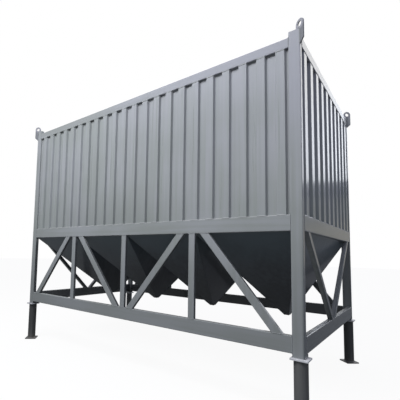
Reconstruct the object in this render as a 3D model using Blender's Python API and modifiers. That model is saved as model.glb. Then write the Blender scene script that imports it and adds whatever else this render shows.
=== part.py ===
"""Horizontal cement silo: a corrugated box bin with four pyramid hoppers in a trussed frame on bolted legs.

Metres, +Z up. The origin is on the ground, under the middle of the frame. The long sides run along X and
the front long side faces -Y. Rectangular hollow sections and round legs are modelled solid, and the wall
sheets, the roof and the hoppers have their real thickness.
"""

from math import atan2, cos, hypot, pi, sin

import bmesh
import bpy
from mathutils import Matrix, Vector

# Frame
LENGTH = 4.37
WIDTH = 2.48
RAIL_UNDERSIDE = 0.615  # ground to the underside of the bottom rails
FRAME_HEIGHT = 2.90  # bottom rail's underside to top rail's top
FRAME_DEPTH = 0.055  # posts and rails, measured in from the outer face
POST_WIDTH = 0.106
POST_OVER_RAIL = 0.05
BOTTOM_RAIL_HEIGHT = 0.153
MID_RAIL_UNDERSIDE = 1.072  # above the bottom rail's underside
MID_RAIL_HEIGHT = 0.150
TOP_RAIL_HEIGHT = 0.10
SECTION_RADIUS = 0.008
GAP = 0.0003  # between pieces that touch

# Long-side trusses and end braces
BAYS = 4
TRUSS_WIDTH = 0.08
TRUSS_DEPTH = 0.04
DIAGONAL_TOP_OFFSET = 0.153  # diagonal's middle to upright's middle, at the mid rail
DIAGONAL_FOOT_OFFSET = 0.127  # diagonal's middle to the upright's middle or the post's inner side
BRACE_WIDTH = 0.055
BRACE_DEPTH = 0.05
BRACE_TOP_OFFSET = 0.16
BRACE_FOOT_OFFSET = 0.06

# Corrugated sheets
SHEET = 0.003
RIB_DEPTH = 0.028
FLANK_RUN = 0.012
SHEET_INSET = 0.002  # outer flats behind the rails' outer faces
LONG_PITCH, LONG_FLAT, LONG_RIBS, LONG_START = 0.188, 0.083, 22, 0.0905
END_PITCH, END_FLAT, END_RIBS, END_START = 0.2344, 0.090, 10, 0.085

# Roof and hoppers
ROOF_SHEET = 0.005
ROOF_BELOW_RAIL_TOP = 0.03
HOPPER_PLATE = 0.005
HOPPER_RIM = 1.080  # above the bottom rail's underside
HOPPER_OUTLET = 0.036  # inside, square
HOPPER_OUTLET_HEIGHT = 0.125  # above the bottom rail's underside
HOPPER_OUTLET_SHIFT = 0.108  # outlet's middle to the bay's middle, towards the right end

# Legs
STUB_HEIGHT = 0.030
STUB_DEPTH = 0.106
FLANGE_SIDE = 0.150
FLANGE_THICKNESS = 0.015
LEG_DIAMETER = 0.120
BASE_SIDE = 0.170
BASE_TURN = pi / 4  # the base plates stand corner-on to the frame
BASE_THICKNESS = 0.015
LEG_INSET = 0.045  # leg axis in from both outer faces

# Lifting eyes
EYE_RADIUS = 0.047
EYE_HOLE = 0.048
EYE_HEIGHT = 2.990  # hole's middle above the bottom rail's underside
EYE_PLATE = 0.012
EYE_TURN = 35 * pi / 180  # slant of the eye plates to the long sides
EYE_OUTER_DROP = 0.155
EYE_ROOT_DROP = 0.195

HALF_X, HALF_Y = LENGTH / 2, WIDTH / 2
BOTTOM_TOP = RAIL_UNDERSIDE + BOTTOM_RAIL_HEIGHT
MID_LOW = RAIL_UNDERSIDE + MID_RAIL_UNDERSIDE
MID_TOP = MID_LOW + MID_RAIL_HEIGHT
TOP_TOP = RAIL_UNDERSIDE + FRAME_HEIGHT
TOP_LOW = TOP_TOP - TOP_RAIL_HEIGHT
POST_TOP = TOP_TOP + POST_OVER_RAIL
BAY = (LENGTH - 2 * POST_WIDTH) / BAYS

for old in list(bpy.data.objects):
    bpy.data.objects.remove(old, do_unlink=True)

parts = bpy.data.collections.new("horizontal_cement_silo")
cutters = bpy.data.collections.new("cutters")
bpy.context.scene.collection.children.link(parts)
bpy.context.scene.collection.children.link(cutters)


def material(name, colour, roughness, metallic=0.0):
    made = bpy.data.materials.new(name)
    made.use_nodes = True
    shader = made.node_tree.nodes["Principled BSDF"]
    shader.inputs["Base Color"].default_value = (*colour, 1.0)
    shader.inputs["Roughness"].default_value = roughness
    shader.inputs["Metallic"].default_value = metallic
    return made


FRAME_PAINT = material("frame_paint", (0.23, 0.26, 0.28), 0.45)
WALL_PAINT = material("wall_paint", (0.27, 0.29, 0.31), 0.35)
ROOF_PAINT = material("roof_paint", (0.27, 0.29, 0.31), 0.5)
HOPPER_PAINT = material("hopper_paint", (0.10, 0.12, 0.14), 0.5)
LEG_PAINT = material("leg_paint", (0.06, 0.065, 0.075), 0.55)
EYE_PAINT = material("eye_paint", (0.25, 0.27, 0.29), 0.5)


def add(name, data, paint, collection=parts):
    made = bpy.data.objects.new(name, data)
    data.materials.append(paint)
    collection.objects.link(made)
    return made


def mesh_from(name, bm, closed=True):
    if closed:
        bmesh.ops.recalc_face_normals(bm, faces=bm.faces)
    mesh = bpy.data.meshes.new(name)
    bm.to_mesh(mesh)
    bm.free()
    return mesh


def block(bm, low, high):
    """Adds a box between two corners and returns its vertices."""
    middle = (Vector(low) + Vector(high)) / 2
    size = Vector(high) - Vector(low)
    placed = Matrix.Translation(middle) @ Matrix.Diagonal((*size, 1.0))
    return bmesh.ops.create_cube(bm, size=1.0, matrix=placed)["verts"]


def round_long_edges(bm, along, radius):
    """Rounds the edges that run along one direction, as on a rolled hollow section."""
    along = Vector(along).normalized()
    edges = [
        e
        for e in bm.edges
        if abs((e.verts[1].co - e.verts[0].co).normalized().dot(along)) > 0.999
    ]
    bmesh.ops.bevel(bm, geom=edges, offset=radius, segments=3, affect="EDGES", profile=0.5)


def bar(name, low, high, axis, paint=FRAME_PAINT):
    """A straight hollow-section member between two corners of its box, running along an axis."""
    bm = bmesh.new()
    block(bm, low, high)
    round_long_edges(bm, [1.0 if i == axis else 0.0 for i in range(3)], SECTION_RADIUS)
    return add(name, mesh_from(name, bm), paint)


def slanted_bar(name, foot, head, width, outer, inner, across):
    """A sloping member cut level at both ends.

    foot and head are (place along the side, height) of its middle line, outer and inner are its faces,
    and across is the axis that its thickness runs along.
    """
    rise = Vector((head[0] - foot[0], head[1] - foot[1]))
    half = width / 2 * rise.length / abs(rise.y)
    outline = [
        (foot[0] - half, foot[1]),
        (foot[0] + half, foot[1]),
        (head[0] + half, head[1]),
        (head[0] - half, head[1]),
    ]

    def place(a, height, depth):
        return (a, depth, height) if across == 1 else (depth, a, height)

    bm = bmesh.new()
    face = bm.faces.new([bm.verts.new(place(a, h, outer)) for a, h in outline])
    pushed = bmesh.ops.extrude_face_region(bm, geom=[face])
    moved = [v for v in pushed["geom"] if isinstance(v, bmesh.types.BMVert)]
    step = place(0, 0, inner - outer)
    bmesh.ops.translate(bm, verts=moved, vec=step)
    round_long_edges(bm, place(rise.x, rise.y, 0), SECTION_RADIUS * 0.6)
    return add(name, mesh_from(name, bm), FRAME_PAINT)


def corrugated(name, span, low, high, pitch, flat, ribs, start, outer, facing, along):
    """A trapezoidal sheet between two posts, its ribs standing upright.

    outer is where the outer flats lie, facing is +1 or -1 for the side that they face, and along is the
    axis that the sheet runs along.
    """
    first = -span / 2 + start
    line = [(-span / 2 + GAP, RIB_DEPTH)]
    for i in range(ribs):
        left = first + i * pitch
        line += [
            (left - FLANK_RUN, RIB_DEPTH),
            (left, 0.0),
            (left + flat, 0.0),
            (left + flat + FLANK_RUN, RIB_DEPTH),
        ]
    line.append((span / 2 - GAP, RIB_DEPTH))

    def place(a, depth, height):
        reach = outer - facing * depth
        return (a, reach, height) if along == 0 else (reach, a, height)

    bm = bmesh.new()
    rows = [[bm.verts.new(place(a, d, z)) for a, d in line] for z in (low, high)]
    for i in range(len(line) - 1):
        bm.faces.new((rows[0][i], rows[0][i + 1], rows[1][i + 1], rows[1][i]))
    mesh = mesh_from(name, bm, closed=False)
    sheet = add(name, mesh, WALL_PAINT)
    thicken = sheet.modifiers.new("thickness", "SOLIDIFY")
    thicken.thickness = SHEET
    thicken.use_even_offset = True
    turned_out = mesh.polygons[2].normal
    outward = facing * (turned_out.y if along == 0 else turned_out.x)
    thicken.offset = -1.0 if outward > 0 else 1.0
    return sheet


SIDES = {"front": -1, "back": 1}
ENDS = {"left": -1, "right": 1}


def corner_posts():
    for side, sy in SIDES.items():
        for end, sx in ENDS.items():
            name = f"post_{side}_{end}"
            x = sorted((sx * HALF_X, sx * (HALF_X - POST_WIDTH)))
            faces = sorted((sy * HALF_Y, sy * (HALF_Y - FRAME_DEPTH)))
            post = bar(
                name,
                (x[0], faces[0], RAIL_UNDERSIDE - STUB_HEIGHT),
                (x[1], faces[1], POST_TOP),
                2,
            )
            behind = sorted((sy * (HALF_Y - FRAME_DEPTH / 2), sy * (HALF_Y - STUB_DEPTH)))
            bm = bmesh.new()
            block(
                bm,
                (x[0], behind[0], RAIL_UNDERSIDE - STUB_HEIGHT),
                (x[1], behind[1], RAIL_UNDERSIDE - GAP),
            )
            stub = add(f"{name}_stub", mesh_from(name, bm), FRAME_PAINT, cutters)
            stub.hide_render = True
            stub.display_type = "WIRE"
            joined = post.modifiers.new("stub", "BOOLEAN")
            joined.operation = "UNION"
            joined.object = stub


def rails():
    levels = {
        "bottom": (RAIL_UNDERSIDE, BOTTOM_TOP),
        "mid": (MID_LOW, MID_TOP),
        "top": (TOP_LOW, TOP_TOP),
    }
    for level, (low, high) in levels.items():
        for side, sy in SIDES.items():
            faces = sorted((sy * HALF_Y, sy * (HALF_Y - FRAME_DEPTH)))
            reach = HALF_X - POST_WIDTH - GAP
            bar(f"{level}_rail_{side}", (-reach, faces[0], low), (reach, faces[1], high), 0)
        for end, sx in ENDS.items():
            faces = sorted((sx * HALF_X, sx * (HALF_X - FRAME_DEPTH)))
            reach = HALF_Y - FRAME_DEPTH - GAP
            bar(f"{level}_rail_{end}", (faces[0], -reach, low), (faces[1], reach, high), 1)


def trusses():
    low, high = BOTTOM_TOP + GAP, MID_LOW - GAP
    first = -HALF_X + POST_WIDTH
    for side, sy in SIDES.items():
        outer, inner = sy * HALF_Y, sy * (HALF_Y - TRUSS_DEPTH)
        faces = sorted((outer, inner))
        for i in range(1, BAYS):
            x = first + i * BAY
            bar(
                f"upright_{side}_{i}",
                (x - TRUSS_WIDTH / 2, faces[0], low),
                (x + TRUSS_WIDTH / 2, faces[1], high),
                2,
            )
        for i in range(BAYS):
            rising = 1 if i % 2 == 0 else -1
            foot = first + (i if rising > 0 else i + 1) * BAY + rising * DIAGONAL_FOOT_OFFSET
            head = first + (i + 1 if rising > 0 else i) * BAY - rising * DIAGONAL_TOP_OFFSET
            slanted_bar(
                f"diagonal_{side}_{i + 1}",
                (foot, low),
                (head, high),
                TRUSS_WIDTH,
                outer,
                inner,
                1,
            )
    for end, sx in ENDS.items():
        for side, sy in SIDES.items():
            head = sy * (HALF_Y - FRAME_DEPTH - BRACE_TOP_OFFSET)
            slanted_bar(
                f"end_brace_{end}_{side}",
                (sy * BRACE_FOOT_OFFSET, low),
                (head, high),
                BRACE_WIDTH,
                sx * HALF_X,
                sx * (HALF_X - BRACE_DEPTH),
                0,
            )


def walls():
    low, high = MID_TOP + GAP, TOP_LOW - GAP
    for side, sy in SIDES.items():
        corrugated(
            f"wall_{side}",
            LENGTH - 2 * POST_WIDTH,
            low,
            high,
            LONG_PITCH,
            LONG_FLAT,
            LONG_RIBS,
            LONG_START,
            sy * (HALF_Y - SHEET_INSET),
            sy,
            0,
        )
    for end, sx in ENDS.items():
        corrugated(
            f"wall_{end}",
            WIDTH - 2 * FRAME_DEPTH,
            low,
            high,
            END_PITCH,
            END_FLAT,
            END_RIBS,
            END_START,
            sx * (HALF_X - SHEET_INSET),
            sx,
            1,
        )


def roof():
    top = TOP_TOP - ROOF_BELOW_RAIL_TOP
    reach = (HALF_X - FRAME_DEPTH - GAP, HALF_Y - FRAME_DEPTH - GAP)
    bm = bmesh.new()
    block(bm, (-reach[0], -reach[1], top - ROOF_SHEET), (*reach, top))
    add("roof", mesh_from("roof", bm), ROOF_PAINT)


def hopper_section():
    """The hoppers' outline along the silo, as (x, height) of their inner and outer plate surfaces.

    Returns one pair for the rim at each bay line and two for each outlet, left and right, and a function
    that gives the long plates' distance from the middle at a height.
    """
    rim, outlet = RAIL_UNDERSIDE + HOPPER_RIM, RAIL_UNDERSIDE + HOPPER_OUTLET_HEIGHT
    tall, half = rim - outlet, HOPPER_OUTLET / 2
    reach, deep = HALF_X - FRAME_DEPTH - GAP, HALF_Y - FRAME_DEPTH - GAP

    def across(run):
        return HOPPER_PLATE * hypot(run, tall) / tall

    thick = across(deep - half)

    def distance(height, is_outer):
        inner = half + (deep - thick - half) * (height - outlet) / tall
        return inner + thick if is_outer else inner

    lines = [-HALF_X + POST_WIDTH + i * BAY for i in range(BAYS + 1)]
    lines[0], lines[-1] = -reach, reach
    middles = [-HALF_X + POST_WIDTH + (i + 0.5) * BAY + HOPPER_OUTLET_SHIFT for i in range(BAYS)]
    feet = []
    for i, x in enumerate(middles):
        left, right = across(x - half - lines[i]), across(lines[i + 1] - x - half)
        feet.append((((x - half, outlet), (x - half - left, outlet)),
                     ((x + half, outlet), (x + half + right, outlet))))
    tops = []
    for i, x in enumerate(lines):
        if i == 0:
            tops.append(((x + across(middles[0] - half - x), rim), (x, rim)))
        elif i == BAYS:
            tops.append(((x - across(x - middles[-1] - half), rim), (x, rim)))
        else:
            falling, rising = x - middles[i - 1] - half, middles[i] - half - x
            drop = (across(falling) + across(rising)) * tall / (falling + rising)
            tops.append(((x, rim), (x + across(falling) - drop * falling / tall, rim - drop)))
    return tops, feet, distance


def hopper_side(name, profile, caps, distance):
    """A hopper plate, or two that meet in a ridge, from its (x, height, is outer) profile.

    caps lists the flat pieces of the profile that its two mitred ends are made of.
    """
    bm = bmesh.new()
    rows = [
        [bm.verts.new((x, sy * (distance(z, is_outer) - 2 * GAP), z)) for x, z, is_outer in profile]
        for sy in (-1, 1)
    ]
    for a in range(len(profile)):
        b = (a + 1) % len(profile)
        bm.faces.new((rows[0][a], rows[0][b], rows[1][b], rows[1][a]))
    for row in rows:
        for cap in caps:
            bm.faces.new([row[c] for c in cap])
    add(name, mesh_from(name, bm), HOPPER_PAINT)


def hoppers():
    """Two long sloping sheets cut to the hoppers' points, with end plates and ridges between them."""
    tops, feet, distance = hopper_section()
    for side, sy in SIDES.items():
        bm = bmesh.new()

        def corner(point, is_outer):
            return bm.verts.new((point[0], sy * distance(point[1], is_outer), point[1]))

        rims = [(corner(a, False), corner(b, True)) for a, b in tops]
        tips = [[(corner(a, False), corner(b, True)) for a, b in foot] for foot in feet]
        outer = [rims[0][1], rims[-1][1]]
        for i in reversed(range(BAYS)):
            outer += [tips[i][1][1], tips[i][0][1]] + ([rims[i][1]] if i else [])
        bm.faces.new(outer)
        bm.faces.new([a for a, _ in rims] + [rims[-1][1], rims[0][1]])
        for i in range(BAYS):
            left, right = tips[i]
            bm.faces.new((rims[i][0], left[0], right[0], rims[i + 1][0]))
            bm.faces.new((left[0], left[1], right[1], right[0]))
            bm.faces.new((rims[i][0], rims[i][1], left[1], left[0]))
            bm.faces.new((rims[i + 1][0], rims[i + 1][1], right[1], right[0]))
        add(f"hopper_sheet_{side}", mesh_from(side, bm), HOPPER_PAINT)
    for end, top, foot in (("left", tops[0], feet[0][0]), ("right", tops[-1], feet[-1][1])):
        profile = [(*foot[0], False), (*top[0], False), (*top[1], True), (*foot[1], True)]
        hopper_side(f"hopper_end_{end}", profile, [(0, 1, 2, 3)], distance)
    for i in range(1, BAYS):
        falling, top, rising = feet[i - 1][1], tops[i], feet[i][0]
        profile = [
            (*falling[0], False),
            (*top[0], False),
            (*rising[0], False),
            (*rising[1], True),
            (*top[1], True),
            (*falling[1], True),
        ]
        hopper_side(f"hopper_ridge_{i}", profile, [(0, 1, 4, 5), (1, 2, 3, 4)], distance)


def legs():
    stub_low = RAIL_UNDERSIDE - STUB_HEIGHT - GAP
    for side, sy in SIDES.items():
        for end, sx in ENDS.items():
            name = f"leg_{side}_{end}"
            x, y = sx * (HALF_X - LEG_INSET), sy * (HALF_Y - LEG_INSET)
            bm = bmesh.new()
            tall = stub_low - 0.002
            placed = Matrix.Translation((x, y, (tall + 0.002) / 2))
            bmesh.ops.create_cone(
                bm,
                cap_ends=True,
                segments=32,
                radius1=LEG_DIAMETER / 2,
                radius2=LEG_DIAMETER / 2,
                depth=tall - 0.002,
                matrix=placed,
            )
            leg = add(name, mesh_from(name, bm), LEG_PAINT)
            plates = (
                ("flange", FLANGE_SIDE, 0.0, stub_low - FLANGE_THICKNESS, stub_low),
                ("base", BASE_SIDE, BASE_TURN, 0.0, BASE_THICKNESS),
            )
            for what, side_length, turn, low, high in plates:
                bm = bmesh.new()
                half = side_length / 2
                block(bm, (-half, -half, low), (half, half, high))
                bmesh.ops.transform(
                    bm, matrix=Matrix.Translation((x, y, 0)) @ Matrix.Rotation(turn, 4, "Z"), verts=bm.verts
                )
                plate = add(f"{name}_{what}", mesh_from(name, bm), LEG_PAINT, cutters)
                plate.hide_render = True
                plate.display_type = "WIRE"
                joined = leg.modifiers.new(what, "BOOLEAN")
                joined.operation = "UNION"
                joined.object = plate


def eye_outline():
    """The eye plate's outline, with its origin at the hole's middle and +x outwards from the corner."""
    top = [
        (EYE_RADIUS * cos(a), EYE_RADIUS * sin(a)) for a in (i * pi / 16 for i in range(17))
    ]
    foot = RAIL_UNDERSIDE + EYE_HEIGHT - POST_TOP - GAP
    root = 2 * GAP
    return top + [
        (-EYE_RADIUS, -foot),
        (root, -foot),
        (root, -EYE_ROOT_DROP),
        (EYE_RADIUS, -EYE_OUTER_DROP),
    ]


def lifting_eyes():
    hole = [
        (EYE_HOLE / 2 * cos(a), EYE_HOLE / 2 * sin(a)) for a in (i * pi / 12 for i in range(24))
    ]
    for side, sy in SIDES.items():
        for end, sx in ENDS.items():
            name = f"lifting_eye_{side}_{end}"
            flat = bpy.data.curves.new(name, "CURVE")
            flat.dimensions = "2D"
            flat.fill_mode = "BOTH"
            flat.extrude = EYE_PLATE / 2
            for outline in (eye_outline(), hole):
                spline = flat.splines.new("POLY")
                spline.points.add(len(outline) - 1)
                spline.points.foreach_set("co", [c for x, y in outline for c in (x, y, 0.0, 1.0)])
                spline.use_cyclic_u = True
            eye = add(name, flat, EYE_PAINT)
            eye.location = (sx * HALF_X, sy * HALF_Y, RAIL_UNDERSIDE + EYE_HEIGHT)
            eye.rotation_euler = (pi / 2, 0.0, atan2(sy * sin(EYE_TURN), sx * cos(EYE_TURN)))


corner_posts()
rails()
trusses()
walls()
roof()
hoppers()
legs()
lifting_eyes()
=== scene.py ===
"""Horizontal cement silo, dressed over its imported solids.

The file follows the silo as it is put together, from the legs up, and ends with the floor, light and camera.
Metres, +Z up, the front long side faces -Y.
"""

from math import cos, pi, radians, sin

import bpy
import numpy as np
from mathutils import Matrix, Vector


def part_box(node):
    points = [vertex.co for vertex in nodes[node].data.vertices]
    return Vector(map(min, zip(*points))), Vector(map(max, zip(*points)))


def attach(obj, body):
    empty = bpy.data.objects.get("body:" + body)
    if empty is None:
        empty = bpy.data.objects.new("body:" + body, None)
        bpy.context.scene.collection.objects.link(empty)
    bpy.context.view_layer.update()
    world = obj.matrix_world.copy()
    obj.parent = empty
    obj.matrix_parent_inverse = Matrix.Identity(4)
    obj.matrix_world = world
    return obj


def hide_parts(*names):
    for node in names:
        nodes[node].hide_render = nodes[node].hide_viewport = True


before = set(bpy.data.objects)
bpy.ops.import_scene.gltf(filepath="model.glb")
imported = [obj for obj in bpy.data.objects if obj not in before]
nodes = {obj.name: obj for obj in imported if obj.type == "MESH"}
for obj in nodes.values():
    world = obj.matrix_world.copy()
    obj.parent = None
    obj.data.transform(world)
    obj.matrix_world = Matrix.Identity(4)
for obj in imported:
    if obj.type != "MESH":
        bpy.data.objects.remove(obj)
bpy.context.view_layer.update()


# Legs. Each is a length of thick steel tube, fillet-welded between a head flange and a square base plate that
# stands corner-on to the frame. Tube and base are sprayed charcoal, and the head flange a paler grey than the
# frame.
SIDES = {"front": -1, "back": 1}
ENDS = {"left": -1, "right": 1}
LEG_HALF_X, LEG_HALF_Y = 2.14, 1.195  # leg axes, from the silo's middle
LEG_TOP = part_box("leg_front_right")[1].z
LEG_PLATE = 0.015  # thickness of the head flange and of the base plate
HEAD_SIDE, FOOT_SIDE = 0.150, 0.170
PLATE_EDGE, PLATE_CORNER = 0.0012, 0.006  # radii that a plate is eased with
PLATE_POINTS = 32  # round a plate's outline
LEG_RADIUS, LEG_END_RADIUS = 0.060, 0.050
LEG_POINTS, TUBE_RINGS = 80, 9  # round the bare tube, and up it
# the fillet's outline, as (radius, height off the plate)
FILLET = ((0.0685, -0.0005), (0.0675, 0.0035), (0.0640, 0.0065), (0.0610, 0.0085))
FILLET_CLEAR = 0.0095  # where the bare tube starts
FILLET_RIPPLES, FILLET_RIPPLE = 40, 0.02  # how many round a fillet, and their share of its radius
CREASE = radians(38)  # edges sharper than this stay sharp
CHARCOAL_DARK, CHARCOAL_LIGHT = (0.048, 0.048, 0.047, 1.0), (0.106, 0.106, 0.105, 1.0)
HEAD_DARK, HEAD_LIGHT = (0.40, 0.40, 0.42, 1.0), (0.58, 0.58, 0.60, 1.0)
MUD = (0.115, 0.105, 0.090, 1.0)
ROAD_DUST = (0.36, 0.34, 0.30, 1.0)


def shell(name, points, faces, coats, coat_of_face=None, along=None):
    """A piece from its points and blocks of like-sided faces, riding on the frame, smooth but for its edges.

    coats are its materials, coat_of_face picks one for each face, and along is a length in metres for each
    point, kept as the attribute run for patterns that follow the piece.
    """
    mesh = bpy.data.meshes.new(name)
    mesh.from_pydata(points.tolist(), [], [face for block in faces for face in block.tolist()])
    mesh.polygons.foreach_set("use_smooth", np.ones(len(mesh.polygons), bool))
    mesh.set_sharp_from_angle(angle=CREASE)
    for one in coats:
        mesh.materials.append(one)
    if coat_of_face is not None:
        mesh.polygons.foreach_set("material_index", np.asarray(coat_of_face, np.int32))
    if along is not None:
        run = mesh.attributes.new("run", "FLOAT", "POINT")
        run.data.foreach_set("value", np.asarray(along, np.float32))
    piece = bpy.data.objects.new(name, mesh)
    bpy.context.scene.collection.objects.link(piece)
    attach(piece, "root")
    return piece


def closed_faces(rows, columns):
    """Faces of a rows x columns grid of points: quads that close round the columns, and a cap at each end."""
    first = np.arange(rows - 1)[:, None] * columns
    a = first + np.arange(columns)
    b = first + (np.arange(columns) + 1) % columns
    quads = np.stack((a, b, b + columns, a + columns), axis=-1).reshape(-1, 4)
    ring = np.arange(columns)[None, :]
    return [quads, ring[:, ::-1], ring + (rows - 1) * columns]


def turned(profile, x, y, count, ripples, ripple):
    """A profile of (radius, height, weld) turned about a standing axis.

    Each point is (x + r cos a, y + r sin a, height). Where the profile is a weld, the radius swells by up
    to the share ripple, ripples times round.
    """
    radius, height, weld = np.asarray(profile, float).T[:, :, None]
    a = np.linspace(0, 2 * pi, count, endpoint=False)[None, :]
    r = radius * (1 + ripple * weld * np.abs(np.sin(ripples / 2 * a)))
    grid = np.stack((x + r * np.cos(a), y + r * np.sin(a), height + 0 * a), axis=-1).reshape(-1, 3)
    return grid, closed_faces(len(profile), count)


def square_plate(x, y, side, turn, low, high):
    """A square plate with rounded corners and eased edges.

    Its outline is a square of quarter-circle corners. The outline is stacked at four heights and pulled in by
    the edge's radius at the lowest and highest.
    """
    quarter, half_step = pi / 2, pi / PLATE_POINTS
    a = np.linspace(0, 2 * pi, PLATE_POINTS, endpoint=False) + half_step
    centre = (side / 2 - PLATE_CORNER) * np.stack((np.sign(np.cos(a)), np.sign(np.sin(a))), axis=-1)
    swing = (a % quarter - half_step) / (quarter - 2 * half_step) * quarter + np.floor(a / quarter) * quarter
    round_part = np.stack((np.cos(swing), np.sin(swing)), axis=-1)
    rings = []
    for inset, z in ((PLATE_EDGE, low), (0, low + PLATE_EDGE), (0, high - PLATE_EDGE), (PLATE_EDGE, high)):
        flat = centre + round_part * (PLATE_CORNER - inset)
        rings.append(np.c_[
            x + flat[:, 0] * cos(turn) - flat[:, 1] * sin(turn),
            y + flat[:, 0] * sin(turn) + flat[:, 1] * cos(turn),
            np.full(PLATE_POINTS, z),
        ])
    return np.concatenate(rings), closed_faces(len(rings), PLATE_POINTS)


def together(parts):
    """Joins (points, blocks of faces) pairs into one, and says which pair each face came from."""
    points, faces, came_from, first = [], [], [], 0
    for n, (part_points, blocks) in enumerate(parts):
        points.append(part_points)
        faces += [block + first for block in blocks]
        came_from += [n] * sum(map(len, blocks))
        first += len(part_points)
    return np.concatenate(points), faces, np.array(came_from)


def add_node(tree, kind, inputs=(), **settings):
    """A shader node, with its inputs set to values or wired to other nodes' sockets."""
    made = tree.nodes.new(kind)
    for key, value in settings.items():
        setattr(made, key, value)
    for key, value in dict(inputs).items():
        if isinstance(value, bpy.types.NodeSocket):
            tree.links.new(value, made.inputs[key])
        else:
            made.inputs[key].default_value = value
    return made


def mixed(tree, share, a, b, way="MIX"):
    """A colour from a at share 0 to b at share 1, or to a times b where way is MULTIPLY."""
    inputs = {0: share, 6: a, 7: b}
    return add_node(tree, "ShaderNodeMix", inputs, data_type="RGBA", blend_type=way).outputs[2]


def number(tree, operation, a, b=0.0, c=0.0, clamp=False):
    """One sum on up to three numbers or sockets."""
    inputs = {0: a, 1: b, 2: c}
    return add_node(tree, "ShaderNodeMath", inputs, operation=operation, use_clamp=clamp).outputs[0]


def product(tree, a, b):
    """a times b."""
    return number(tree, "MULTIPLY", a, b)


def rising(tree, value, low, high):
    """0 below low, 1 above high, and a smooth rise between."""
    inputs = {"Value": value, "From Min": low, "From Max": high}
    return add_node(tree, "ShaderNodeMapRange", inputs, interpolation_type="SMOOTHSTEP").outputs["Result"]


def falling(tree, value, low, high):
    """1 below low, 0 above high, and a smooth fall between."""
    return number(tree, "SUBTRACT", 1.0, rising(tree, value, low, high))


def axes(tree, place):
    """A place's X, Y and Z sockets."""
    return add_node(tree, "ShaderNodeSeparateXYZ", {0: place}).outputs


def mirrored(tree, place):
    """The like place in the back right quarter, for marks that repeat at all four corners."""
    return add_node(tree, "ShaderNodeVectorMath", {0: place}, operation="ABSOLUTE").outputs[0]


def noise(tree, place, scale, detail=2.0, stretch=(1.0, 1.0, 1.0), offset=(0.0, 0.0, 0.0), rough=0.5):
    """Noise of so many blotches to the metre, stretched along the axes."""
    moved = {"Vector": place, "Scale": stretch, "Location": offset}
    at = add_node(tree, "ShaderNodeMapping", moved).outputs[0]
    inputs = {"Vector": at, "Scale": scale, "Detail": detail, "Roughness": rough}
    return add_node(tree, "ShaderNodeTexNoise", inputs).outputs[0]


def effect(name, inputs, outputs):
    """An empty node group with named sockets, and its input and output nodes' sockets."""
    tree = bpy.data.node_groups.new(name, "ShaderNodeTree")
    for socket, kind, value in inputs:
        tree.interface.new_socket(name=socket, in_out="INPUT", socket_type=kind).default_value = value
    for socket, kind in outputs:
        tree.interface.new_socket(name=socket, in_out="OUTPUT", socket_type=kind)
    return tree, tree.nodes.new("NodeGroupInput").outputs, tree.nodes.new("NodeGroupOutput").inputs


# The spray coat that every steel piece has: it varies in cloudy patches and in the long passes of the gun
# along the grain, carries a little road dust on what faces up, and has a fine orange peel over slightly wavy
# plate.
sprayed, given, gives = effect(
    "sprayed_coat",
    [
        ("Dark", "NodeSocketColor", (0.2, 0.2, 0.2, 1.0)),
        ("Light", "NodeSocketColor", (0.3, 0.3, 0.3, 1.0)),
        ("Dust", "NodeSocketColor", ROAD_DUST),
        ("Dust Share", "NodeSocketFloat", 0.3),
        ("Gloss", "NodeSocketFloat", 0.35),
        ("Wave", "NodeSocketFloat", 0.0006),
        ("Grain", "NodeSocketVector", (1.0, 1.0, 0.03)),
    ],
    [("Colour", "NodeSocketColor"), ("Roughness", "NodeSocketFloat"), ("Height", "NodeSocketFloat")],
)
place = add_node(sprayed, "ShaderNodeTexCoord").outputs["Object"]
facing_up = axes(sprayed, add_node(sprayed, "ShaderNodeNewGeometry").outputs["Normal"])["Z"]
cloud = noise(sprayed, place, 1.3, 4.0)
passes = noise(sprayed, place, 22.0, 3.0, given["Grain"], (3.1, 1.7, 0.4))
speck = noise(sprayed, place, 160.0, 2.0, offset=(0.2, 5.0, 2.0))
tone = number(sprayed, "ADD", product(sprayed, cloud, 0.55), product(sprayed, passes, 0.45))
body = mixed(sprayed, rising(sprayed, tone, 0.38, 0.62), given["Dark"], given["Light"])
lying = product(sprayed, rising(sprayed, facing_up, 0.35, 0.95), rising(sprayed, cloud, 0.2, 0.6))
caught = product(sprayed, rising(sprayed, speck, 0.55, 0.75), 0.25)
dusty = product(sprayed, number(sprayed, "ADD", lying, caught, clamp=True), given["Dust Share"])
sprayed.links.new(mixed(sprayed, dusty, body, given["Dust"]), gives["Colour"])
worn = number(sprayed, "MULTIPLY_ADD", number(sprayed, "SUBTRACT", passes, 0.5), 0.16, given["Gloss"])
sprayed.links.new(number(sprayed, "MULTIPLY_ADD", dusty, 0.5, worn, clamp=True), gives["Roughness"])
peel = product(sprayed, noise(sprayed, place, 230.0, 1.0), 0.00004)
wavy = product(sprayed, noise(sprayed, place, 3.4, 1.0, (1.0, 1.0, 0.5)), given["Wave"])
sprayed.links.new(number(sprayed, "ADD", peel, wavy), gives["Height"])


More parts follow.
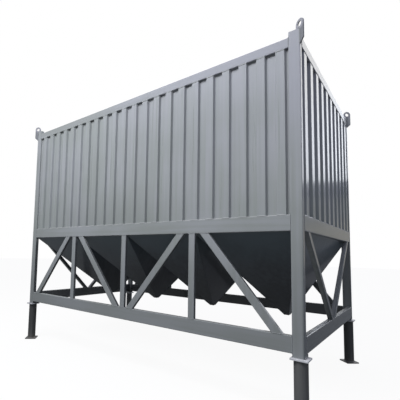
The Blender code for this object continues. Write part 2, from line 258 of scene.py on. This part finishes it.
def coat(name, values, clear=0.0, extra=None):
    """A paint that takes its colour, gloss and grain from the sprayed coat, under a share of clear lacquer.

    extra may change the colour before it reaches the shader: it is given the tree, the place and the colour.
    """
    made = bpy.data.materials.new(name)
    made.use_nodes = True
    tree = made.node_tree
    shader = tree.nodes["Principled BSDF"]
    group = add_node(tree, "ShaderNodeGroup", node_tree=sprayed)
    for key, value in values.items():
        group.inputs[key].default_value = value
    colour = group.outputs["Colour"]
    if extra:
        colour = extra(tree, add_node(tree, "ShaderNodeTexCoord").outputs["Object"], colour)
    tree.links.new(colour, shader.inputs["Base Color"])
    tree.links.new(group.outputs["Roughness"], shader.inputs["Roughness"])
    bumps = {"Height": group.outputs["Height"], "Strength": 1.0, "Distance": 1.0}
    tree.links.new(add_node(tree, "ShaderNodeBump", bumps).outputs["Normal"], shader.inputs["Normal"])
    shader.inputs["Coat Weight"].default_value = clear
    shader.inputs["Coat Roughness"].default_value = 0.09
    return made


def mud_line(tree, place, colour):
    """Dried splashes that thin out over the lowest 200 mm."""
    ragged = number(tree, "MULTIPLY_ADD", noise(tree, place, 34.0, 3.0), 0.22, axes(tree, place)["Z"])
    return mixed(tree, product(tree, falling(tree, ragged, 0.08, 0.26), 0.55), colour, MUD)


leg_values = {"Dark": CHARCOAL_DARK, "Light": CHARCOAL_LIGHT, "Dust Share": 0.25, "Gloss": 0.42}
leg_coat = coat("leg_charcoal", leg_values, extra=mud_line)
head_coat = coat("leg_head_grey", {"Dark": HEAD_DARK, "Light": HEAD_LIGHT, "Dust Share": 0.2, "Gloss": 0.4})
leg_coats = [leg_coat, head_coat]
low, high = LEG_PLATE, LEG_TOP - LEG_PLATE
tube_profile = [
    (LEG_END_RADIUS, low, 0),
    *[(radius, low + off, 1) for radius, off in FILLET],
    *[(LEG_RADIUS, z, 0) for z in np.linspace(low + FILLET_CLEAR, high - FILLET_CLEAR, TUBE_RINGS)],
    *[(radius, high - off, 1) for radius, off in reversed(FILLET)],
    (LEG_END_RADIUS, high, 0),
]
for side, sy in SIDES.items():
    for end, sx in ENDS.items():
        x, y = sx * LEG_HALF_X, sy * LEG_HALF_Y
        points, faces, came_from = together([
            turned(tube_profile, x, y, LEG_POINTS, FILLET_RIPPLES, FILLET_RIPPLE),
            square_plate(x, y, FOOT_SIDE, pi / 4, 0.0, LEG_PLATE),
            square_plate(x, y, HEAD_SIDE, 0.0, LEG_TOP - LEG_PLATE, LEG_TOP),
        ])
        leg = shell(f"leg_{side}_{end}_dressed", points, faces, leg_coats, came_from == 2)
        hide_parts(f"leg_{side}_{end}")


# Frame. Corner posts and the rails at three heights are rolled hollow sections, butted together, welded all
# round and sprayed blue-grey as one. The welds are left as run, with their ripples under the coat.
FRAME_DARK, FRAME_LIGHT = (0.230, 0.243, 0.238, 1.0), (0.276, 0.286, 0.300, 1.0)
# painted light: a lilac tint standing in for the bluish sky light on the upper right
PAINTED_SKY_TINT = (0.266, 0.265, 0.316, 1.0)
# painted shade with road dirt: the frame is darker downwards, darkest on the right end's outer faces
LOW_DIRT_AND_SHADE, RIGHT_END_DIRT_AND_SHADE = (0.140, 0.149, 0.144, 1.0), (0.082, 0.092, 0.098, 1.0)
# painted shade, laid on the inner faces that lie in the hoppers' shadow
HOPPER_SHADE = (0.030, 0.031, 0.035, 1.0)
GRAIN_UP, GRAIN_LONG, GRAIN_ACROSS = (1.0, 1.0, 0.03), (0.03, 1.0, 1.0), (1.0, 0.03, 1.0)
BEAD_SIDES = 7
BEAD_SWELLS = 97, 31  # waves in a bead's width, in radians to the metre
BEAD_SHIFT = 3.7  # how much further along its ripples each bead starts
FRAME_BEAD = 0.0028  # radius
# Each kind's grain, the axis across its inner faces and how far out those lie. A truss bar's sides count too.
FRAME_KINDS = {
    "post": (GRAIN_UP, "X", 2.079),
    "truss": (GRAIN_UP, "Y", 1.234),
    "brace": (GRAIN_UP, "X", 2.135),
    "long": (GRAIN_LONG, "Y", 1.185),
    "cross": (GRAIN_ACROSS, "X", 2.130),
}


def sky_tinted(tree, at, colour, amount):
    """Painted light: the paint's colour tinted lilac towards the upper right, where the bluish sky light
    falls most.
    """
    share = product(tree, rising(tree, at["Z"], 2.1, 3.4), rising(tree, at["X"], -1.5, 2.2))
    return mixed(tree, product(tree, share, amount), colour, PAINTED_SKY_TINT)


def dirt_and_shade_below(tree, place, colour):
    """Sky-tinted paint under road dirt and painted shade that thicken downwards, most on the right end's
    outer faces, which the light reaches least.
    """
    at = axes(tree, place)
    right_end = rising(tree, at["X"], 2.16, 2.18)
    thick = number(tree, "MULTIPLY_ADD", right_end, 0.40, 0.45)
    share = product(tree, falling(tree, at["Z"], 0.7, 2.1), thick)
    dirt_and_shade = mixed(tree, right_end, LOW_DIRT_AND_SHADE, RIGHT_END_DIRT_AND_SHADE)
    return mixed(tree, share, sky_tinted(tree, at, colour, 0.6), dirt_and_shade)


def shaded_inside(axis, inner_face):
    """The coat that darkens downwards, with painted shade from the hoppers laid dark on the inner faces below
    the mid rails.
    """

    # painted shade: the inner faces under the hoppers are darkened
    def shade_on_inner_faces(tree, place, colour):
        at = axes(tree, mirrored(tree, place))
        inner = falling(tree, at[axis], inner_face + 0.001, inner_face + 0.004)
        share = product(tree, product(tree, inner, falling(tree, at["Z"], 1.55, 1.75)), 0.75)
        return mixed(tree, share, dirt_and_shade_below(tree, place, colour), HOPPER_SHADE)

    return shade_on_inner_faces


frame_coats = {
    kind: coat(
        f"frame_grey_{kind}",
        {"Dark": FRAME_DARK, "Light": FRAME_LIGHT, "Dust Share": 0.35, "Gloss": 0.36, "Grain": grain},
        clear=0.6,
        extra=shaded_inside(axis, inner_face),
    )
    for kind, (grain, axis, inner_face) in FRAME_KINDS.items()
}
for name, node in nodes.items():
    if name.startswith("post_"):
        node.material_slots[0].material = frame_coats["post"]
    elif "_rail_" in name:
        node.material_slots[0].material = frame_coats["long" if name.endswith(tuple(SIDES)) else "cross"]

bead_ripples, given, gives = effect(
    "bead_ripples", [("Pitch", "NodeSocketFloat", 0.006)], [("Height", "NodeSocketFloat")]
)
run = add_node(bead_ripples, "ShaderNodeAttribute", attribute_name="run").outputs["Fac"]
turns = product(bead_ripples, number(bead_ripples, "DIVIDE", run, given["Pitch"]), 2 * pi)
bead_ripples.links.new(product(bead_ripples, number(bead_ripples, "SINE", turns), 0.0004), gives["Height"])


def weld_coat(name, dark, light, gloss=0.4):
    """The coat of the steel beside it, over a weld's ripples."""
    made = coat(name, {"Dark": dark, "Light": light, "Dust Share": 0.4, "Gloss": gloss, "Wave": 0.0})
    tree = made.node_tree
    bump = next(n for n in tree.nodes if n.type == "BUMP")
    height = bump.inputs["Height"].links[0].from_socket
    ripples = add_node(tree, "ShaderNodeGroup", node_tree=bead_ripples).outputs["Height"]
    tree.links.new(number(tree, "ADD", height, ripples), bump.inputs["Height"])
    return made


def bead_along(line, radius, start):
    """A weld bead: a circle carried along a line of points and squared to it at each one.

    Each point is line + r (cos a n + sin a m), where n and m are square to the line's own direction, taken
    between its neighbours, and r swells and thins by a tenth along the way. start is added to the lengths.
    """
    line = np.asarray(line, float)
    heading = np.gradient(line, axis=0)
    heading /= np.linalg.norm(heading, axis=1, keepdims=True)
    helper = np.where(np.abs(heading[:, 2:]) > 0.9, [[1.0, 0.0, 0.0]], [[0.0, 0.0, 1.0]])
    n = np.cross(heading, helper)
    n /= np.linalg.norm(n, axis=1, keepdims=True)
    m = np.cross(heading, n)
    run = start + np.r_[0, np.cumsum(np.linalg.norm(np.diff(line, axis=0), axis=1))]
    r = radius * (1 + 0.1 * np.sin(run * BEAD_SWELLS[0]) * np.cos(run * BEAD_SWELLS[1]))[:, None, None]
    a = np.linspace(0, 2 * pi, BEAD_SIDES, endpoint=False)[None, :, None]
    grid = line[:, None, :] + r * (np.cos(a) * n[:, None, :] + np.sin(a) * m[:, None, :])
    return grid.reshape(-1, 3), closed_faces(len(line), BEAD_SIDES), np.repeat(run, BEAD_SIDES)


def straight(a, b, spacing=0.03):
    """Points along a straight run, about a spacing apart."""
    a, b = np.asarray(a, float), np.asarray(b, float)
    return a + (b - a) * np.linspace(0, 1, max(3, int(np.linalg.norm(b - a) / spacing)))[:, None]


def weld_piece(name, lines, radius, material):
    """One piece of all the beads of a kind, each starting its ripples at another place."""
    made = [bead_along(line, radius, BEAD_SHIFT * n) for n, line in enumerate(lines)]
    points, faces, _ = together([(p, f) for p, f, _ in made])
    shell(name, points, faces, [material], along=np.concatenate([r for _, _, r in made]))


def loop_at_end(low, high, axis, at):
    """The four edges of a bar's end, as straight runs, for a bar along an axis whose box is low to high."""
    u, v = [i for i in range(3) if i != axis]
    corners = []
    for a, b in ((low[u], low[v]), (high[u], low[v]), (high[u], high[v]), (low[u], high[v])):
        point = [0.0, 0.0, 0.0]
        point[axis], point[u], point[v] = at, a, b
        corners.append(point)
    return [straight(corners[i], corners[(i + 1) % 4]) for i in range(4)]


frame_lines = []
for level in ("bottom", "mid", "top"):
    for side in SIDES:
        low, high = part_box(f"{level}_rail_{side}")
        frame_lines += loop_at_end(low, high, 0, low.x) + loop_at_end(low, high, 0, high.x)
    for end in ENDS:
        low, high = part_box(f"{level}_rail_{end}")
        frame_lines += loop_at_end(low, high, 1, low.y) + loop_at_end(low, high, 1, high.y)
for side in SIDES:
    for end in ENDS:
        low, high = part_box(f"post_{side}_{end}")
        frame_lines += loop_at_end(low, high, 2, LEG_TOP)
frame_weld = weld_coat("frame_weld_grey", FRAME_DARK, FRAME_LIGHT)
weld_piece("frame_welds", frame_lines, FRAME_BEAD, frame_weld)


# Trusses and end braces. Uprights and diagonals of smaller hollow section stand between the bottom and mid
# rails, cut to fit and fillet-welded round both ends.
TRUSS_WIDTH, BRACE_WIDTH = 0.08, 0.055
TRUSS_BEAD = 0.0030  # radius
for name, node in nodes.items():
    if name.startswith(("upright_", "diagonal_")):
        node.material_slots[0].material = frame_coats["truss"]
    elif name.startswith("end_brace_"):
        node.material_slots[0].material = frame_coats["brace"]


def sloping_ends(name, width, axis, rises):
    """The outlines of a sloping bar's two level-cut ends, from its box and its true width.

    A level cut is width * hypot(run, rise) / rise long, and the box is one run and one cut long. Squared,
    that is (rise^2 - width^2) cut^2 + 2 width^2 span cut - width^2 (span^2 + rise^2) = 0, solved for the cut.
    rises says whether the bar climbs along the axis.
    """
    low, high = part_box(name)
    span, rise = high[axis] - low[axis], high.z - low.z
    a, b, c = rise**2 - width**2, width**2 * span, width**2 * (span**2 + rise**2)
    cut = (-b + np.sqrt(b * b + a * c)) / a
    across = 1 - axis
    ends = []
    for z, at_low in ((low.z, rises), (high.z, not rises)):
        first, last = (low[axis], low[axis] + cut) if at_low else (high[axis] - cut, high[axis])
        flat_low, flat_high = [0.0, 0.0, z], [0.0, 0.0, z]
        flat_low[axis], flat_high[axis] = first, last
        flat_low[across], flat_high[across] = low[across], high[across]
        ends += loop_at_end(flat_low, flat_high, 2, z)
    return ends


truss_lines = []
for name in nodes:
    if name.startswith("upright_"):
        low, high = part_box(name)
        truss_lines += loop_at_end(low, high, 2, low.z) + loop_at_end(low, high, 2, high.z)
    elif name.startswith("diagonal_"):
        truss_lines += sloping_ends(name, TRUSS_WIDTH, 0, name[-1] in "13")  # 1 and 3 rise to the right
    elif name.startswith("end_brace_"):
        truss_lines += sloping_ends(name, BRACE_WIDTH, 1, name.endswith("back"))
weld_piece("truss_welds", truss_lines, TRUSS_BEAD, frame_weld)


# Walls. Trapezoidal sheet with upright ribs, set just inside the frame's faces, stitched to the rails with a
# thin run of sealant that follows the ribs, and sprayed a shade lighter and glossier than the frame.
SHEET_DARK, SHEET_LIGHT = (0.248, 0.264, 0.258, 1.0), (0.290, 0.298, 0.314, 1.0)
# the second colour is painted shade with dirt, for the walls' foot
RAIN_DUST, FOOT_DIRT_AND_SHADE = (0.205, 0.212, 0.205, 1.0), (0.182, 0.194, 0.184, 1.0)
SEALANT_DARK, SEALANT_LIGHT = (0.34, 0.35, 0.35, 1.0), (0.44, 0.45, 0.45, 1.0)
SEALANT_BEAD = 0.0042  # radius
RIB_DEPTH, FLANK_RUN = 0.028, 0.012
LONG_RIBS = (4.158, 0.188, 0.083, 22, 0.0905)  # span, pitch, outer flat, ribs, first flat from the span's end
END_RIBS = (2.37, 0.2344, 0.090, 10, 0.085)


def rain_runs_and_foot_shade(tree, place, colour):
    """Runs of washed-down dust that thin out downwards over sky-tinted paint, and painted shade with dirt
    along the foot, thickest at mid-length.
    """
    at = axes(tree, place)
    runs = rising(tree, noise(tree, place, 13.0, 4.0, (1.0, 1.0, 0.02), (7.0, 2.0, 0.0), 0.65), 0.52, 0.72)
    share = product(tree, runs, number(tree, "MULTIPLY_ADD", rising(tree, at["Z"], 1.9, 3.3), 0.20, 0.12))
    washed = mixed(tree, share, sky_tinted(tree, at, colour, 0.35), RAIN_DUST)
    from_middle = number(tree, "ABSOLUTE", number(tree, "ADD", at["X"], 0.3))
    thick = number(tree, "MULTIPLY_ADD", rising(tree, from_middle, 0.4, 1.6), -0.50, 0.55)
    return mixed(tree, product(tree, falling(tree, at["Z"], 1.6, 2.5), thick), washed, FOOT_DIRT_AND_SHADE)


sheet_values = {"Dark": SHEET_DARK, "Light": SHEET_LIGHT, "Dust Share": 0.25, "Gloss": 0.30, "Wave": 0.0016}
sheet_coat = coat("sheet_grey", sheet_values, clear=0.57, extra=rain_runs_and_foot_shade)
for name, node in nodes.items():
    if name.startswith("wall_"):
        node.material_slots[0].material = sheet_coat


def rib_line(span, pitch, flat, ribs, first):
    """The sheet's outline from above, as (place along, depth in), corner by corner."""
    left = -span / 2 + first + pitch * np.arange(ribs)[:, None]
    along = left + np.array([[-FLANK_RUN, 0.0, flat, flat + FLANK_RUN]])
    depth = np.tile([RIB_DEPTH, 0.0, 0.0, RIB_DEPTH], ribs)
    return np.r_[-span / 2, along.ravel(), span / 2], np.r_[RIB_DEPTH, depth, RIB_DEPTH]


seal_lines = []
for name in ("wall_front", "wall_back", "wall_left", "wall_right"):
    low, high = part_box(name)
    long_side = name in ("wall_front", "wall_back")
    facing_out = -1 if name in ("wall_front", "wall_left") else 1
    along, depth = rib_line(*(LONG_RIBS if long_side else END_RIBS))
    axis = 1 if long_side else 0
    outer = (low if facing_out < 0 else high)[axis]
    reach = outer - facing_out * depth
    for z in (low.z, high.z):
        level = 0 * along + z
        seal_lines.append(np.stack((along, reach, level) if long_side else (reach, along, level), axis=-1))
    for a in (along[0], along[-1]):
        foot = [a, reach[0], low.z] if long_side else [reach[0], a, low.z]
        seal_lines.append(straight(foot, [*foot[:2], high.z], spacing=0.08))
sealant = weld_coat("seam_sealant", SEALANT_DARK, SEALANT_LIGHT, 0.5)
weld_piece("wall_seams", seal_lines, SEALANT_BEAD, sealant)


# Roof. Four flat plates lie just below the top rails, butt-welded into one and welded to the rails all round.
# It faces up, so it holds more dust than the rest.
ROOF_DARK, ROOF_LIGHT = (0.225, 0.235, 0.240, 1.0), (0.285, 0.295, 0.300, 1.0)
PUDDLE_RIM = (0.42, 0.40, 0.36, 1.0)
ROOF_PLATES = 4
ROOF_BEAD = 0.0030  # radius


def dried_puddles(tree, place, colour):
    """Pale rims where water stood and dried: a thin band of a slow noise."""
    slow = noise(tree, place, 1.1, 3.0, offset=(4.0, 9.0, 0.0))
    from_rim = number(tree, "ABSOLUTE", number(tree, "SUBTRACT", slow, 0.52))
    return mixed(tree, product(tree, falling(tree, from_rim, 0.0, 0.05), 0.12), colour, PUDDLE_RIM)


roof_values = {"Dark": ROOF_DARK, "Light": ROOF_LIGHT, "Dust Share": 0.55, "Gloss": 0.45, "Wave": 0.002}
nodes["roof"].material_slots[0].material = coat("roof_grey", roof_values, extra=dried_puddles)
low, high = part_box("roof")
roof_lines = loop_at_end(low, high, 2, high.z)
for x in np.linspace(low.x, high.x, ROOF_PLATES + 1)[1:-1]:
    roof_lines.append(straight((x, low.y, high.z), (x, high.y, high.z)))
roof_weld = weld_coat("roof_weld_grey", ROOF_DARK, ROOF_LIGHT)
weld_piece("roof_welds", roof_lines, ROOF_BEAD, roof_weld)


# Hoppers. Two long sheets cut to four points lean in from the long sides, folded ridges and two end plates
# close them, and every hip is welded along its outside. They are sprayed dark slate.
SLATE_DARK, SLATE_LIGHT = (0.042, 0.048, 0.060, 1.0), (0.072, 0.081, 0.097, 1.0)
SLATE_DUST = (0.10, 0.095, 0.09, 1.0)
# the first colour is a painted sheen near the rims, the second a greyer slate towards the outlets
SLATE_SHEEN, SLATE_BELOW = (0.100, 0.132, 0.155, 1.0), (0.058, 0.058, 0.059, 1.0)
BAYS, BAY = 4, 1.0395  # hoppers in the row, and one's length
OUTLET_SHIFT = 0.108  # how far an outlet lies right of its bay's middle
OUTLET_HALF = 0.018  # half its width
PLATE = 0.005
HOPPER_BEAD = 0.0032  # radius


def sheen_and_lower_grey(tree, place, colour):
    """Slate with a painted sheen, bluer and paler, under the mid rails, and greyer and less blue towards the
    outlets.
    """
    ragged = number(tree, "MULTIPLY_ADD", noise(tree, place, 5.0, 3.0), 0.20, axes(tree, place)["Z"])
    pale = mixed(tree, product(tree, rising(tree, ragged, 1.33, 1.78), 0.85), colour, SLATE_SHEEN)
    return mixed(tree, product(tree, falling(tree, ragged, 0.95, 1.35), 0.55), pale, SLATE_BELOW)


hopper_values = {
    "Dark": SLATE_DARK,
    "Light": SLATE_LIGHT,
    "Dust": SLATE_DUST,
    "Dust Share": 0.2,
    "Gloss": 0.34,
    "Wave": 0.002,
}
hopper_coat = coat("hopper_slate", hopper_values, clear=0.5, extra=sheen_and_lower_grey)
for name, node in nodes.items():
    if name.startswith("hopper_"):
        node.material_slots[0].material = hopper_coat

outlet, rim = (c.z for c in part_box("hopper_sheet_front"))
deep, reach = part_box("hopper_sheet_back")[1].y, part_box("hopper_sheet_back")[1].x
tall = rim - outlet


def slant(run):
    """How far a plate's thickness reaches level, on a plate that falls the hopper's height over a run."""
    return PLATE * np.hypot(run, tall) / tall


# Each hip runs from its outlet's corner up to the rim. Between two hoppers it ends a little lower, at the
# drop where the two plates of the ridge meet.
bay_lines = BAY * (np.arange(BAYS + 1) - BAYS / 2)
middles = BAY * (np.arange(BAYS) + 0.5 - BAYS / 2) + OUTLET_SHIFT
bay_lines[0], bay_lines[-1] = -reach, reach
out_foot = OUTLET_HALF + slant(deep - OUTLET_HALF)
hip_lines = []
for i in range(BAYS):
    for sx, line in ((-1, bay_lines[i]), (1, bay_lines[i + 1])):
        run = abs(line - middles[i]) - OUTLET_HALF
        foot = middles[i] + sx * (OUTLET_HALF + slant(run))
        drop, head = 0.0, line
        if abs(line) < reach:  # between two hoppers
            other = abs(middles[i + sx] - line) - OUTLET_HALF
            drop = (slant(run) + slant(other)) * tall / (run + other)
            head = line + sx * (slant(run) - drop * run / tall)
        out_head = out_foot + (deep - out_foot) * (1 - drop / tall)
        for sy in SIDES.values():
            ends = (foot, sy * out_foot, outlet), (head, sy * out_head, rim - drop)
            hip_lines.append(straight(*ends, spacing=0.05))
hopper_weld = weld_coat("hopper_weld_slate", SLATE_DARK, SLATE_LIGHT)
weld_piece("hopper_welds", hip_lines, HOPPER_BEAD, hopper_weld)


# Lifting eyes. Flame-cut plates stand on the corner posts, slanting outwards, and are welded to the post's
# top and down its corner. Their coat is darker than the frame's, paler on the ring, and shackles have rubbed
# it off round the holes.
HALF_X, HALF_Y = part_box("post_back_right")[1].xy  # the frame's corner
EYE_PLACE = (HALF_X, HALF_Y, 3.605)  # a ring's middle
EYE_TURN = radians(35)  # slant of the plates to the long sides
EYE_RADIUS, EYE_HALF_PLATE = 0.047, 0.006
EYE_BEAD, EYE_BEAD_REACH = 0.0034, 0.150  # radius, and how far a bead reaches down the post
WELD_STOP, CORNER_STOP = 0.004, 0.008  # how far the beads stop short of an edge, and of the post's corner
EYE_DARK, EYE_LIGHT = (0.128, 0.132, 0.143, 1.0), (0.175, 0.179, 0.193, 1.0)
BACK_EYE = (0.270, 0.275, 0.287, 1.0)
RING_DARK, RING_LIGHT = (0.205, 0.205, 0.232, 1.0), (0.250, 0.250, 0.280, 1.0)
BARE_STEEL = (0.30, 0.295, 0.29, 1.0)


def rubbed_hole(tree, place, colour):
    """The ring's paler coat and the bare steel by its hole, on plates that are paler at the back."""
    to_eye = {0: mirrored(tree, place), 1: EYE_PLACE}
    away = add_node(tree, "ShaderNodeVectorMath", to_eye, operation="DISTANCE").outputs["Value"]
    ragged = number(tree, "MULTIPLY_ADD", noise(tree, place, 90.0, 2.0), 0.008, away)
    pale = mixed(tree, rising(tree, noise(tree, place, 60.0, 3.0), 0.35, 0.65), RING_DARK, RING_LIGHT)
    plate = mixed(tree, rising(tree, axes(tree, place)["Y"], 0.0, 0.5), colour, BACK_EYE)
    ring = mixed(tree, falling(tree, ragged, 0.050, 0.060), plate, pale)
    return mixed(tree, falling(tree, ragged, 0.0285, 0.0335), ring, BARE_STEEL)


eye_values = {"Dark": EYE_DARK, "Light": EYE_LIGHT, "Dust Share": 0.3, "Gloss": 0.5}
eye_coat = coat("eye_grey", eye_values, extra=rubbed_hole)
eye_lines = []
for side, sy in SIDES.items():
    for end, sx in ENDS.items():
        nodes[f"lifting_eye_{side}_{end}"].material_slots[0].material = eye_coat
        out = np.array([sx * cos(EYE_TURN), sy * sin(EYE_TURN), 0.0])
        across = np.array([-out[1], out[0], 0.0]) * EYE_HALF_PLATE
        corner = np.array([sx * HALF_X, sy * HALF_Y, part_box(f"post_{side}_{end}")[1].z])
        for face in (-1, 1):
            edge = corner + face * across
            across_top = edge - out * (EYE_RADIUS - WELD_STOP), edge - out * CORNER_STOP
            down_corner = edge - [0, 0, WELD_STOP], edge - [0, 0, EYE_BEAD_REACH]
            eye_lines += [straight(*across_top, spacing=0.01), straight(*down_corner, spacing=0.02)]
weld_piece("eye_welds", eye_lines, EYE_BEAD, frame_weld)


# Floor. A pale level studio floor, far wider than the silo, that runs into the white background. It lies half
# a millimetre below the feet, and is darker to light and reflections than to the camera.
FLOOR_HALF, FLOOR_Z = 60, -0.0005
FLOOR_BOUNCE, FLOOR_SEEN = (0.150, 0.155, 0.150, 1.0), (0.80, 0.80, 0.80, 1.0)
WHITE = (1.0, 1.0, 1.0, 1.0)
floor_mesh = bpy.data.meshes.new("floor")
floor_corners = [(x * FLOOR_HALF, y * FLOOR_HALF, FLOOR_Z) for x, y in ((-1, -1), (1, -1), (1, 1), (-1, 1))]
floor_mesh.from_pydata(floor_corners, [], [(0, 1, 2, 3)])
floor = bpy.data.objects.new("floor", floor_mesh)
bpy.context.scene.collection.objects.link(floor)
floor_paint = bpy.data.materials.new("pale_floor")
floor_paint.use_nodes = True
tree = floor_paint.node_tree
shader = tree.nodes["Principled BSDF"]
shader.inputs["Roughness"].default_value = 0.9
shader.inputs["Specular IOR Level"].default_value = 0.1
seen = add_node(tree, "ShaderNodeLightPath").outputs["Is Camera Ray"]
tree.links.new(mixed(tree, seen, FLOOR_BOUNCE, FLOOR_SEEN), shader.inputs["Base Color"])
glow = add_node(tree, "ShaderNodeEmission", {"Color": WHITE, "Strength": 1.0})
share = product(tree, seen, 0.92)
blend = add_node(tree, "ShaderNodeMixShader", {0: share, 1: shader.outputs[0], 2: glow.outputs[0]})
tree.links.new(blend.outputs[0], tree.nodes["Material Output"].inputs["Surface"])
floor_mesh.materials.append(floor_paint)


# Light. An even sky, bright above a dark skyline towards the back, stands in for the studio, and one large
# soft panel lights the front long side from above.
NEAR_HAZE, MID_HAZE, SKYLINE = (0.37, 0.355, 0.31, 1.0), (0.28, 0.29, 0.29, 1.0), (0.035, 0.045, 0.090, 1.0)
GLARE_LOW, GLARE_HIGH = (1.86, 1.93, 2.06, 1.0), (1.76, 1.75, 1.72, 1.0)
TINT_LOW, TINT_HIGH = (0.90, 1.0, 0.95, 1.0), (0.93, 0.935, 1.10, 1.0)
TINT_BESIDE = (0.78, 0.85, 0.99, 1.0)  # what the sky at the right end is filtered by
PANEL_PLACE, PANEL_AIM = Vector((-0.2, -4.9, 6.5)), Vector((-0.2, -1.24, 2.6))
PANEL_WIDTH, PANEL_HEIGHT = 5.4, 2.6
PANEL_WATTS, PANEL_COLOUR = 505.0, (0.955, 0.98, 1.0)
world = bpy.data.worlds.new("studio")
bpy.context.scene.world = world
world.use_nodes = True
tree = world.node_tree
heading = add_node(tree, "ShaderNodeTexCoord").outputs["Generated"]
at = axes(tree, heading)
wobble = product(tree, number(tree, "SUBTRACT", noise(tree, heading, 14.0, 3.0), 0.5), 0.03)
rise = number(tree, "ADD", at["Z"], wobble)
haze = mixed(tree, rising(tree, rise, 0.085, 0.110), NEAR_HAZE, MID_HAZE)
skyline = mixed(tree, rising(tree, rise, 0.150, 0.172), haze, SKYLINE)
glare = mixed(tree, rising(tree, rise, 0.32, 0.50), GLARE_LOW, GLARE_HIGH)
behind = mixed(tree, rising(tree, rise, 0.198, 0.210), skyline, glare)
open_sky = number(tree, "MULTIPLY_ADD", rising(tree, at["Z"], 0.0, 1.0), 0.42, 0.35)
tint = mixed(tree, rising(tree, at["Z"], 0.0, 0.5), TINT_LOW, TINT_HIGH)
front = mixed(tree, 1.0, tint, open_sky, way="MULTIPLY")
beside = mixed(tree, rising(tree, at["X"], 0.20, 0.75), front, TINT_BESIDE, way="MULTIPLY")
all_round = mixed(tree, rising(tree, at["Y"], 0.45, 0.85), beside, behind)
lit = add_node(tree, "ShaderNodeBackground", {"Color": all_round, "Strength": 1.0})
plain = add_node(tree, "ShaderNodeBackground", {"Color": WHITE, "Strength": 1.0})
seen = add_node(tree, "ShaderNodeLightPath").outputs["Is Camera Ray"]
blend = add_node(tree, "ShaderNodeMixShader", {0: seen, 1: lit.outputs[0], 2: plain.outputs[0]})
world_out = next(n for n in tree.nodes if n.type == "OUTPUT_WORLD")
tree.links.new(blend.outputs[0], world_out.inputs["Surface"])

lamp = bpy.data.lights.new("front_panel", "AREA")
lamp.shape, lamp.size, lamp.size_y = "RECTANGLE", PANEL_WIDTH, PANEL_HEIGHT
lamp.energy, lamp.color = PANEL_WATTS, PANEL_COLOUR
panel = bpy.data.objects.new("front_panel", lamp)
aimed = (PANEL_AIM - PANEL_PLACE).to_track_quat("-Z", "Y").to_matrix().to_4x4()
panel.matrix_world = Matrix.Translation(PANEL_PLACE) @ aimed
panel.visible_camera = panel.visible_glossy = False
bpy.context.scene.collection.objects.link(panel)


# Camera. It stands at the near right corner at chest height and looks slightly up along the front, as the
# photograph was taken. The place, turn and lens come from the photograph's straight edges.
PICTURE, SENSOR = 400.0, 36.0  # the picture's width in pixels, and in mm
FOCAL, CENTRE = 326.12, (149.32, 227.42)  # in pixels
CAMERA_PLACE = (2.9713, -4.2880, 1.4505)
YAW, PITCH, ROLL = 0.6944, 0.0819, 0.0230
forward = Vector((-sin(YAW) * cos(PITCH), cos(YAW) * cos(PITCH), sin(PITCH)))
level = Vector((cos(YAW), sin(YAW), 0.0))
upward = level.cross(forward)
right = cos(ROLL) * level + sin(ROLL) * upward
top = -sin(ROLL) * level + cos(ROLL) * upward
camera = bpy.data.objects.new("camera", bpy.data.cameras.new("camera"))
camera.matrix_world = Matrix.Translation(CAMERA_PLACE) @ Matrix((right, top, -forward)).transposed().to_4x4()
camera.data.sensor_width = SENSOR
camera.data.lens = FOCAL * SENSOR / PICTURE
camera.data.shift_x = (PICTURE / 2 - CENTRE[0]) / PICTURE
camera.data.shift_y = (CENTRE[1] - PICTURE / 2) / PICTURE
bpy.context.scene.collection.objects.link(camera)
bpy.context.scene.camera = camera
bpy.context.scene.view_settings.view_transform = "Standard"
